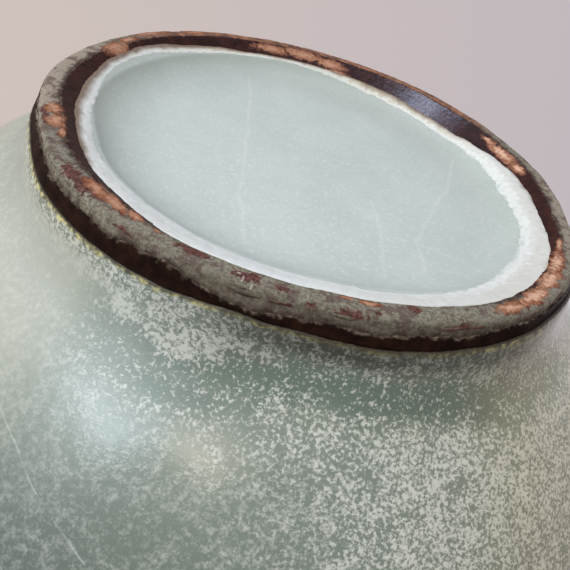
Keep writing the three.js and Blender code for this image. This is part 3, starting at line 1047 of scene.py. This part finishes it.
def worn_clay():
    """Rough grey-olive stoneware, burnt to copper in patches and still stained by the dressing."""
    made = Finish("worn_stoneware", 0.85, 0.15)
    grain = made.noise(0.5, 3.0, 0.65)
    blotch = made.noise(2.4, 3.0, 0.6)
    pit = made.noise(0.3, 2.0, 0.5, offset=0.3)
    made.colour = made.mix(made.span(grain, 0.32, 0.68), (94, 87, 75), (138, 131, 115))
    made.lay(made.span(blotch, 0.42, 0.7, 0.0, 0.5), (128, 121, 107))
    made.lay(made.mark("pale", 0.6), (160, 144, 128))
    dirt = made.noise(1.9, 4.0, 0.65, offset=0.7)
    made.lay(made.span(dirt, 0.49, 0.60, 0.0, 0.72), (86, 67, 60))
    # Painted shade towards the worn face's outer side
    made.lay(made.mark("soiled", 0.5), (72, 63, 54))
    edge = made.plus(made.mark("to_dressing"), made.ragged(1.5, 4.0, 0.55, 2.6, 1.7))
    made.lay(made.span(edge, -0.3, 1.0, 0.9, 0.0), (50, 37, 31))
    made.lay(made.span(pit, 0.58, 0.72, 0.0, 0.6), (48, 39, 33))
    brown = made.mix(made.span(blotch, 0.36, 0.64), (92, 58, 42), (148, 100, 74))
    made.lay(made.mark("scorched", 0.85), brown)
    remnant = made.mix(made.span(grain, 0.36, 0.64), (62, 38, 34), (104, 68, 61))
    made.lay(made.patch("remnant", made.ragged(1.1, 4.0, 0.6, 3.0, 3.7), -0.1, 0.35), remnant)
    made.burn()
    scratch = made.patch("scratch", made.ragged(0.4, 2.0, 0.5, 1.5, 4.1))
    made.lay(made.times(scratch, 0.55), (190, 182, 170))
    return made.finish(made.bump(pit, 0.05, made.bump(grain, 0.10)))


def dressing(name, dark, light, roughness, specular, worn):
    """Iron-brown slip, worn through to the clay at its ragged edge."""
    made = Finish(name, roughness, specular)
    cloud = made.noise(2.6, 3.0, 0.6)
    fine = made.noise(0.5, 3.0, 0.6, offset=0.9)
    made.colour = made.mix(made.span(cloud, 0.38, 0.66), dark, light)
    made.burn()
    edge = made.plus(made.mark("from_edge"), made.ragged(1.3, 4.0, 0.55, 2.4, 1.9))
    clay = made.mix(made.span(fine, 0.35, 0.65), (76, 62, 52), (118, 106, 92))
    made.lay(made.span(edge, -0.2, 0.5, worn, 0.0), clay)
    dull = made.span(fine, 0.3, 0.7, roughness - 0.05, roughness + 0.08)
    made.put(made.shader.inputs["Roughness"], made.line(made.mark("gloss"), -0.32, dull))
    return made.finish(made.bump(fine, 0.008, made.bump(cloud, 0.02)))


# A fine old crack in the glaze above the cove: angle, radius, height
BODY_CRACK = (
    (-64.4, 67.4, 22.6), (-68.4, 68.9, 24.0), (-72.3, 70.8, 25.8), (-77.0, 72.8, 27.7), (-81.2, 74.5, 29.5),
)


def on_body(degrees, radius, height):
    """A place on the outside of the vase, in millimetres."""
    return tuple(float(v) for v in cartesian(lopsided(radius, height, degrees), height, degrees))


def celadon():
    """Grey-green glaze full of soft whitish specks, clear and greener in a band round the cove."""
    made = Finish("celadon_glaze_speckled", 0.25, 0.5)
    soft, warm, shade, belly_shade = (made.mark(name) for name in ("soft", "warm", "shade", "belly_shade"))
    made.colour = made.mix(warm, (108, 120, 112), (122, 120, 100))
    made.lay(made.mark("cove", 0.8), made.mix(warm, (94, 111, 102), (68, 75, 58)))
    made.lay(made.mark("milk"), made.mix(warm, (166, 170, 162), (168, 164, 148)))
    # Painted shade: the lower belly darker on the near and left sides
    made.lay(made.times(belly_shade, 0.75), (82, 90, 84))
    # Painted shade next to the foot's edge
    made.lay(made.times(shade, 0.9), (36, 33, 25))

    # The specks are where noise of two sizes passes a threshold that falls with their thickness
    fine = made.noise(0.56, 2.0, 0.6, 0.15)
    large = made.noise(0.95, 3.0, 0.6, 0.2, offset=0.5)
    size = made.mix(soft, fine, large)
    clump = made.ragged(2.8, 3.0, 0.55, 0.36, 1.1)
    crumb = made.ragged(0.30, 1.0, 0.5, 0.34, 1.6)
    field = made.plus(made.plus(size, clump), crumb)
    threshold = made.line(made.mark("specks"), -0.228, 0.66)
    spread = made.line(soft, 0.10, 0.13)
    depth = made.sum("SUBTRACT", field, threshold)
    speck = made.span(depth, made.times(spread, -1.0), spread)
    white = made.mix(warm, (198, 198, 192), (192, 185, 166))
    # Specks dimmer in the painted shade on the lower belly
    white = made.mix(made.times(belly_shade, 0.35), white, (168, 172, 165))
    # Specks dimmer in the painted shade next to the foot
    white = made.mix(made.times(shade, 0.9), white, (100, 102, 92))
    contrast = made.line(soft, -0.62, 0.9)
    made.lay(made.times(speck, contrast), white)

    patchy = made.span(made.noise(1.1, 3.0, 0.6, offset=2.4), 0.40, 0.62, 0.05, 1.0)
    olive_tone = made.times(made.mark("olive_tone"), patchy)
    made.lay(made.mark("olive", 0.9), made.mix(olive_tone, (46, 40, 18), (202, 191, 126)))
    made.lay(made.span(made.mark("edge"), 0.0, 0.3, 0.9, 0.0), (44, 36, 25))
    made.put(made.shader.inputs["Roughness"], made.span(made.mark("along"), 10.0, 22.0, 0.5, 0.25))
    line = [on_body(*corner) for corner in BODY_CRACK]
    made.cracks([(line, 0.4)], 0.28, (206, 206, 198), 0.2, 1.2)
    return made.finish(made.bump(speck, 0.012))


# Crackle of the base glaze, in millimetres from the middle of the base
BASE_CRACKLE = (
    ((23.9, 41.5), (17.6, 17.5), (13.2, -5.9), (9.7, -23.2), (6.2, -33.5)),
    ((-29.8, 21.4), (-27.2, 5.0), (-23.4, -7.9), (-20.7, -19.2), (-22.3, -28.7)),
    ((-20.7, -19.2), (-24.3, -19.0), (-27.8, -20.1)),
    ((-12.2, -9.0), (-14.2, -19.1), (-14.9, -26.0), (-15.6, -34.2)),
)


def base_pool():
    """Pale blue-green milky glaze with faint bubbles and beige crackle."""
    made = Finish("base_glaze_milky", 0.5, 0.4)
    cloud = made.noise(9.0, 3.0, 0.55)
    haze = made.noise(1.6, 3.0, 0.6, offset=0.4)
    dots = made.noise(0.7, 1.0, 0.4, offset=0.8)
    made.colour = made.mix(made.span(cloud, 0.34, 0.68), (174, 181, 175), (180, 186, 180))
    made.lay(made.span(haze, 0.50, 0.72, 0.0, 0.22), (206, 208, 204))
    made.lay(made.span(dots, 0.56, 0.72, 0.0, 0.28), (216, 218, 212))
    # Painted shade next to the roll and towards the far side
    made.lay(made.mark("shade"), (140, 143, 130))
    surface = COVE_START - BASE_GLAZE
    lines = [([(*corner, surface) for corner in line], i * 0.013) for i, line in enumerate(BASE_CRACKLE)]
    made.cracks(lines, 0.18, (210, 209, 196), 0.5, 2.2)
    return made.finish(made.bump(haze, 0.012))


def crust():
    """White glaze roll, slightly crawled, cream towards the dressing."""
    made = Finish("white_glaze_crust", 0.5, 0.35)
    lump = made.noise(1.2, 3.0, 0.6)
    roll = made.plus(made.mark("roll"), made.ragged(1.3, 3.0, 0.6, 1.1, 0.6))
    across = made.plus(made.mark("roll"), made.ragged(2.6, 2.0, 0.5, 0.5, 1.6))
    white = made.mix(made.mark("cream"), (205, 205, 201), (184, 174, 154))
    made.colour = made.mix(made.span(lump, 0.35, 0.65), made.mix(0.16, white, (150, 144, 132)), white)
    made.lay(made.span(roll, 0.24, 0.5, 0.6, 0.0), (214, 214, 210))
    made.lay(made.span(roll, -0.05, 0.12, 0.9, 0.0), (178, 184, 179))
    beige = made.mark("beige")
    low = made.line(beige, -0.95, 1.1)
    high = made.line(beige, -0.75, 1.5)
    made.lay(made.span(across, low, high, 0.0, 0.95), (104, 82, 64))
    return made.finish(made.bump(lump, 0.05))


def plain_glaze(name, dark, light, feature):
    """Cloudy glaze with pale flecks, for the lip and the inside."""
    made = Finish(name, 0.28, 0.5)
    cloud = made.noise(feature, 3.0, 0.6)
    fleck = made.noise(0.9, 3.0, 0.6, 0.3)
    made.colour = made.mix(made.span(cloud, 0.35, 0.65), dark, light)
    made.lay(made.times(made.span(fleck, 0.52, 0.66), 0.4), (190, 192, 180))
    return made.finish(made.bump(fleck, 0.015))


def raw_clay(name, dark, light):
    """Grainy clay or slip, for the pieces under the glaze."""
    made = Finish(name, 0.9, 0.2)
    grain = made.noise(0.8, 4.0, 0.6)
    made.colour = made.mix(made.span(grain, 0.35, 0.65), dark, light)
    return made.finish(made.bump(grain, 0.08))


# Camera

def make_camera():
    """Stands the camera below the foot and turns it as the photograph's frame asks."""
    below = math.radians(CAMERA_BELOW)
    away = Vector((0, -math.cos(below), -math.sin(below)))
    right = (-away).cross(Vector((0, 0, -1))).normalized()
    up = right.cross(-away)
    facing = Matrix((right, up, away))
    turn = (
        Matrix.Rotation(math.radians(CAMERA_ROLL), 3, "Z")
        @ Matrix.Rotation(math.radians(CAMERA_TILT), 3, "X")
        @ Matrix.Rotation(math.radians(CAMERA_PAN), 3, "Y")
    )
    data = bpy.data.cameras.new("camera")
    data.lens, data.sensor_width, data.sensor_fit = LENS, SENSOR, "HORIZONTAL"
    data.clip_start = 0.003
    camera = bpy.data.objects.new("camera", data)
    bpy.context.scene.collection.objects.link(camera)
    place_now = away * CAMERA_DISTANCE * FOOT_RADIUS * MM
    camera.matrix_world = Matrix.Translation(place_now) @ (turn @ facing).transposed().to_4x4()
    bpy.context.scene.camera = camera
    return camera


# Light

def area_lamp(name, position, target, width, height, power, colour, spread=180):
    """A rectangular lamp. A narrower spread keeps the brightness on its axis."""
    data = bpy.data.lights.new(name, "AREA")
    data.shape, data.size, data.size_y = "RECTANGLE", width, height
    half = math.radians(spread) / 2
    data.energy, data.color = power * (1 - half / math.tan(half)) if spread < 180 else power, colour
    data.spread = 2 * half
    lamp = bpy.data.objects.new(name, data)
    bpy.context.scene.collection.objects.link(lamp)
    lamp.location = position
    lamp.rotation_euler = (Vector(target) - Vector(position)).to_track_quat("-Z", "Y").to_euler()
    lamp.visible_camera = False
    return lamp


# The even light, and the ground's two tones with the part of the view over which one becomes the other
WORLD_COLOUR = (0.94, 0.97, 1.0, 1.0)
WORLD_STRENGTH = 0.35
BACKDROP_LEFT, BACKDROP_RIGHT = (207, 194, 187), (194, 185, 190)
BACKDROP_SPAN = (-0.42, 0.45)
# The floor: half its side, its gap under the vase, and the metres over which one tone becomes the other
FLOOR_NEAR, FLOOR_FAR = (214, 206, 202), (200, 190, 189)
FLOOR_HALF = 6.0
FLOOR_GAP = 0.0002
FLOOR_FADE = (0.7, 2.6)


def mirrored_place(camera, piece, pixel, distance):
    """Where a lamp has to stand for the piece to mirror it at a pixel of the photograph."""
    mesh = piece.data
    tree = BVHTree.FromPolygons([v.co for v in mesh.vertices], [p.vertices for p in mesh.polygons])
    x = (pixel[0] / PHOTO_SIDE - 0.5) * SENSOR / LENS
    y = (0.5 - pixel[1] / PHOTO_SIDE) * SENSOR / LENS
    origin = camera.matrix_world.translation
    ray = (camera.matrix_world.to_3x3() @ Vector((x, y, -1))).normalized()
    hit, normal, _, _ = tree.ray_cast(origin, ray)
    return hit, hit + ray.reflect(normal).normalized() * distance


def make_world(camera):
    """A plain pale studio: even light, and a pinkish-grey ground behind the vase."""
    world = bpy.data.worlds.new("studio")
    bpy.context.scene.world = world
    made = Nodes(world)
    path = made.node("LightPath").outputs
    seen = path["Is Camera Ray"]
    for ray in ("Is Transmission Ray", "Is Glossy Ray"):
        seen = made.sum("MAXIMUM", seen, path[ray])
    light = made.node("Background", {"Color": WORLD_COLOUR, "Strength": WORLD_STRENGTH})
    direction = made.node("TexCoord").outputs["Generated"]
    sideways = camera.matrix_world.to_3x3() @ Vector((1, 0, 0))
    share = made.span(made.vector("DOT_PRODUCT", direction, sideways), *BACKDROP_SPAN, kind="LINEAR")
    tint = made.mix(share, BACKDROP_LEFT, BACKDROP_RIGHT)
    backdrop = made.node("Background", {"Color": tint})
    made.node("OutputWorld", {"Surface": made.either(seen, light, backdrop).outputs[0]})


def make_floor():
    """A pale floor that is only there from above, so that the foot can be seen from below."""
    corners = [(x * FLOOR_HALF, y * FLOOR_HALF, 0) for x, y in ((-1, -1), (1, -1), (1, 1), (-1, 1))]
    mesh = bpy.data.meshes.new("floor")
    mesh.from_pydata(corners, [], [(0, 1, 2, 3)])
    floor = bpy.data.objects.new("floor", mesh)
    bpy.context.scene.collection.objects.link(floor)
    floor.location.z = -FLOOR_GAP
    made = Nodes(bpy.data.materials.new("pale_floor"))
    side = made.node("NewGeometry").outputs
    pale = made.node("BsdfDiffuse", {"Color": tone(*FLOOR_NEAR)})
    fade = made.span(made.vector("LENGTH", side["Position"]), *FLOOR_FADE)
    far = made.node("Emission", {"Color": tone(*FLOOR_FAR)})
    ground = made.either(fade, pale, far)
    surface = made.either(side["Backfacing"], ground, made.node("BsdfTransparent"))
    made.node("OutputMaterial", {"Surface": surface.outputs[0]})
    mesh.materials.append(made.owner)
    for ray in ("diffuse", "glossy", "transmission", "volume_scatter", "shadow"):
        setattr(floor, f"visible_{ray}", False)


# Large square lamps in front, behind and below: place, target, power, colour
SOFT_SIDE = 1.2
SOFT_LAMPS = (
    ("key", (0.9, -1.1, 1.5), (0, 0, 0.12), 21, (1.0, 0.98, 0.95)),
    ("back_fill", (-1.0, 1.1, 1.4), (0, 0, 0.12), 20, (0.96, 0.98, 1.0)),
    ("under_fill", (0.5, -0.5, -1.1), (0, 0, 0), 1.0, (1.0, 0.98, 0.96)),
)
# Where the photograph shows each reflection, in its pixels
WINDOW_AT = (108, 386)
WARM_WINDOW_AT = (196, 438)
PALE_PANEL_AT = (14, 246)
LAVENDER_PANEL_AT = (562, 330)
SLOPE_GLINT_AT = (424, 101)
# Lamps that the vase mirrors: the piece that does, pixel, distance, width and height, power, colour, spread
MIRRORED = (
    ("window", "glaze", WINDOW_AT, 1.4, (0.6, 0.47), 12.8, (0.76, 0.9, 1.0), 180),
    ("warm_window", "glaze", WARM_WINDOW_AT, 1.4, (0.25, 0.25), 5.6, (1.0, 0.88, 0.72), 180),
    ("pale_panel", "glaze", PALE_PANEL_AT, 1.4, (1.2, 1.2), 6.0, (1.0, 0.97, 0.9), 180),
    ("lavender_panel", "glaze", LAVENDER_PANEL_AT, 1.4, (0.6, 0.6), 3.0, (0.9, 0.84, 1.0), 100),
    ("blue_window", "slope", SLOPE_GLINT_AT, 0.9, (0.3, 0.11), 3.0, (0.66, 0.74, 1.0), 180),
)


def make_lights(camera, pieces):
    """The soft lamps, and the windows and panels that the vase mirrors."""
    for name, spot, target, power, colour in SOFT_LAMPS:
        area_lamp(name, spot, target, SOFT_SIDE, SOFT_SIDE, power, colour)
    for name, piece, pixel, distance, size, power, colour, spread in MIRRORED:
        hit, spot = mirrored_place(camera, pieces[piece], pixel, distance)
        area_lamp(name, spot, hit, *size, power, colour, spread)


def main():
    camera = make_camera()
    make_world(camera)
    make_floor()
    foot_ring(worn_clay())
    outer_dressing(dressing("iron_dressing_outside", (20, 10, 7), (36, 20, 14), 0.6, 0.03, 0.9))
    slope = inner_dressing(dressing("iron_dressing_inside", (32, 10, 4), (50, 21, 11), 0.46, 0.11, 0.7))
    base_glaze(base_pool())
    glaze_roll(crust())
    glaze = outer_glaze(celadon())
    lip_glaze(plain_glaze("lip_glaze_brown", (120, 108, 78), (142, 134, 108), 6.0))
    inner_glaze(plain_glaze("liner_glaze_pale", (132, 140, 130), (152, 158, 146), 12.0))
    clay_sections(
        raw_clay("stoneware_inside", (104, 99, 84), (132, 126, 108)),
        raw_clay("luting_slip", (128, 121, 102), (148, 141, 122)),
    )
    make_lights(camera, {"glaze": glaze, "slope": slope})

    scene = bpy.context.scene
    scene.view_settings.view_transform = "Standard"


main()
